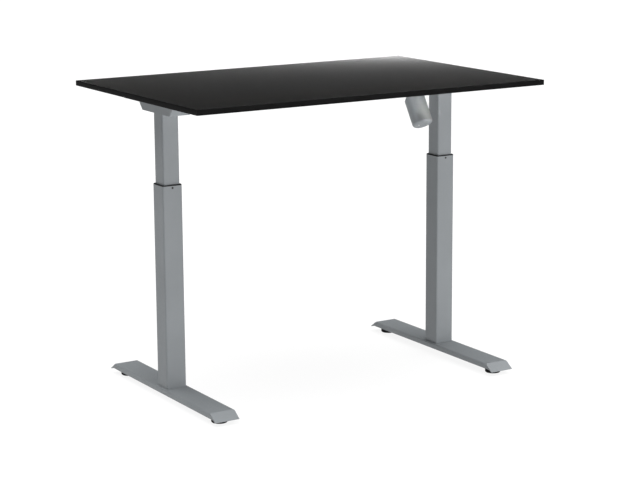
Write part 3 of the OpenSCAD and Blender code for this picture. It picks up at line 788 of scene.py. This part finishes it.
def button_arrows(finishes):
    """A raised arrow on each button, up on one and down on the other."""
    outline = [(-3.2 * MM, -1.6 * MM), (0, 1.9 * MM), (3.2 * MM, -1.6 * MM),
               (2.3 * MM, -2.3 * MM), (0, 0.3 * MM), (-2.3 * MM, -2.3 * MM)]
    sunk = Vector((0, -0.2 * MM, 0))
    raised = Vector((0, 0.25 * MM, 0))
    for key, direction in (("up", 1), ("down", -1)):
        low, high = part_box(f"{key}_button")
        centre = (low + high) / 2
        spots = [Vector((centre.x + x, high.y, centre.z + direction * z)) for x, z in outline]
        bm = bmesh.new()
        lower = [bm.verts.new(spot + sunk) for spot in spots]
        upper = [bm.verts.new(spot + raised) for spot in spots]
        close_prism(bm, lower, upper)
        make_piece(f"{key}_arrow", bm, f"{key}_key", "black_plastic", finishes)


def glide_ribs(finishes):
    """Grip ribs round each levelling glide, so that it can be turned by hand."""
    count = 40
    bottom, top = 2.5 * MM, 9.5 * MM
    # (share of a rib's pitch, height over the disc's rim)
    rib = ((0.0, -0.5 * MM), (0.25, 0.45 * MM), (0.5, 0.6 * MM), (0.75, 0.45 * MM))
    for glide in ("left_front", "left_rear", "right_front", "right_rear"):
        low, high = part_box(f"{glide}_glide")
        centre = (low + high) / 2
        radius = (high.x - low.x) / 2
        outline = []
        for i in range(count):
            for share, height in rib:
                angle = (i + share) * 2 * math.pi / count
                r = radius + height
                outline.append((r * math.cos(angle), r * math.sin(angle)))
        bm = bmesh.new()
        extruded(bm, Matrix.Translation((centre.x, centre.y, 0)), outline, bottom, top)
        make_piece(f"{glide}_glide_grip", bm, f"{glide}_foot_glide", "black_plastic", finishes)


# ---------------------------------------------------------------- stage

def make_floor():
    """A plain white floor. It glows, as an overlit studio sweep seems to, so shadows on it stay faint."""
    half = 40.0
    below = 0.2 * MM
    bm = bmesh.new()
    bm.faces.new(add_ring(bm, Matrix(), rectangle(-half, -half, half, half), -below))
    mesh = bpy.data.meshes.new("studio_floor")
    bm.to_mesh(mesh)
    bm.free()
    finish = Finish("studio_floor_finish", (0.15, 0.15, 0.15), 0.9)
    finish.vary_colour(finish.noise(0.8), (0.145, 0.145, 0.145), (0.155, 0.155, 0.155))
    finish.set(Specular_IOR_Level=0.0, Emission_Color=(1.0, 1.0, 1.0, 1.0), Emission_Strength=0.88)
    mesh.materials.append(finish.material)
    floor = bpy.data.objects.new("studio_floor", mesh)
    bpy.context.scene.collection.objects.link(floor)


def make_world():
    """A studio dome that is bright overhead and dark towards the horizon.

    The dome lights the desk and shows in its reflections. The camera sees a white backdrop instead.
    """
    white = (1.0, 1.0, 1.0, 1.0)
    nearly_black = (0.01, 0.01, 0.01, 1.0)
    world = bpy.data.worlds.new("studio_dome")
    bpy.context.scene.world = world
    world.use_nodes = True
    nodes = world.node_tree.nodes
    link = world.node_tree.links.new

    dome = nodes["Background"]
    dome.inputs["Strength"].default_value = 4.0
    coords = nodes.new("ShaderNodeTexCoord")
    split = nodes.new("ShaderNodeSeparateXYZ")
    ramp = nodes.new("ShaderNodeValToRGB")
    horizon, zenith = ramp.color_ramp.elements
    horizon.position, horizon.color = 0.68, nearly_black
    zenith.position, zenith.color = 0.90, white
    link(coords.outputs["Generated"], split.inputs["Vector"])
    link(split.outputs["Z"], ramp.inputs["Fac"])
    link(ramp.outputs["Color"], dome.inputs["Color"])

    backdrop = nodes.new("ShaderNodeBackground")
    backdrop.inputs["Color"].default_value = white
    rays = nodes.new("ShaderNodeLightPath")
    choice = nodes.new("ShaderNodeMixShader")
    link(rays.outputs["Is Camera Ray"], choice.inputs[0])
    link(dome.outputs["Background"], choice.inputs[1])
    link(backdrop.outputs["Background"], choice.inputs[2])
    link(choice.outputs["Shader"], nodes["World Output"].inputs["Surface"])


def make_light(name, place, target, size, power):
    """A rectangular light that the camera doesn't see. Its size is (width, height) in metres."""
    data = bpy.data.lights.new(name, "AREA")
    data.shape = "RECTANGLE"
    data.size, data.size_y = size
    data.energy = power
    light = bpy.data.objects.new(name, data)
    bpy.context.scene.collection.objects.link(light)
    light.matrix_world = placed(place, Vector(place) - Vector(target))
    light.visible_camera = False
    return light


def make_lights():
    """A low softbox in front, a strip that the top's far corner mirrors, and a spot on the motor."""
    make_light("key_softbox", (1.8, -4.6, 0.8), (0, 0, 0.55), (3.0, 1.3), 119)

    far_corner = Vector(cad_box[1])
    strip_place = far_corner + Vector((0.052, 0.086, 0.016))
    strip_target = far_corner - Vector((0.203, 0.333, 0.004))
    make_light("far_corner_strip", strip_place, strip_target, (3.0, 0.02), 0.85)

    # It aims past the motor's left side, so that the column beside the motor stays out of its light
    motor_low, motor_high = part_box("motor_housing")
    motor_aim = (motor_low + motor_high) / 2 + Vector((-0.030, -0.119, 0.031))
    motor_fill = make_light("motor_fill", (0.0, -1.2, 0.78), motor_aim, (0.06, 0.06), 0.035)
    motor_fill.data.spread = math.radians(8)


# ---------------------------------------------------------------- scene

def make_scene():
    """Camera, finishes, detail pieces and stage, in that order."""
    make_camera()
    bpy.context.scene.view_settings.view_transform = "Standard"
    finishes = make_finishes()
    finish_cad_nodes(finishes)
    round_edges()
    rounded_edge_band(finishes)
    rim_screws(finishes)
    cross_head_wood_screws(finishes)
    cross_head_bracket_screws(finishes)
    lead_screws(finishes)
    ball_bearings(finishes)
    worm_shaft(finishes)
    armature_core(finishes)
    armature_windings(finishes)
    commutator(finishes)
    motor_end_screws(finishes)
    control_box_ribs(finishes)
    button_arrows(finishes)
    glide_ribs(finishes)
    make_floor()
    make_world()
    make_lights()


make_scene()
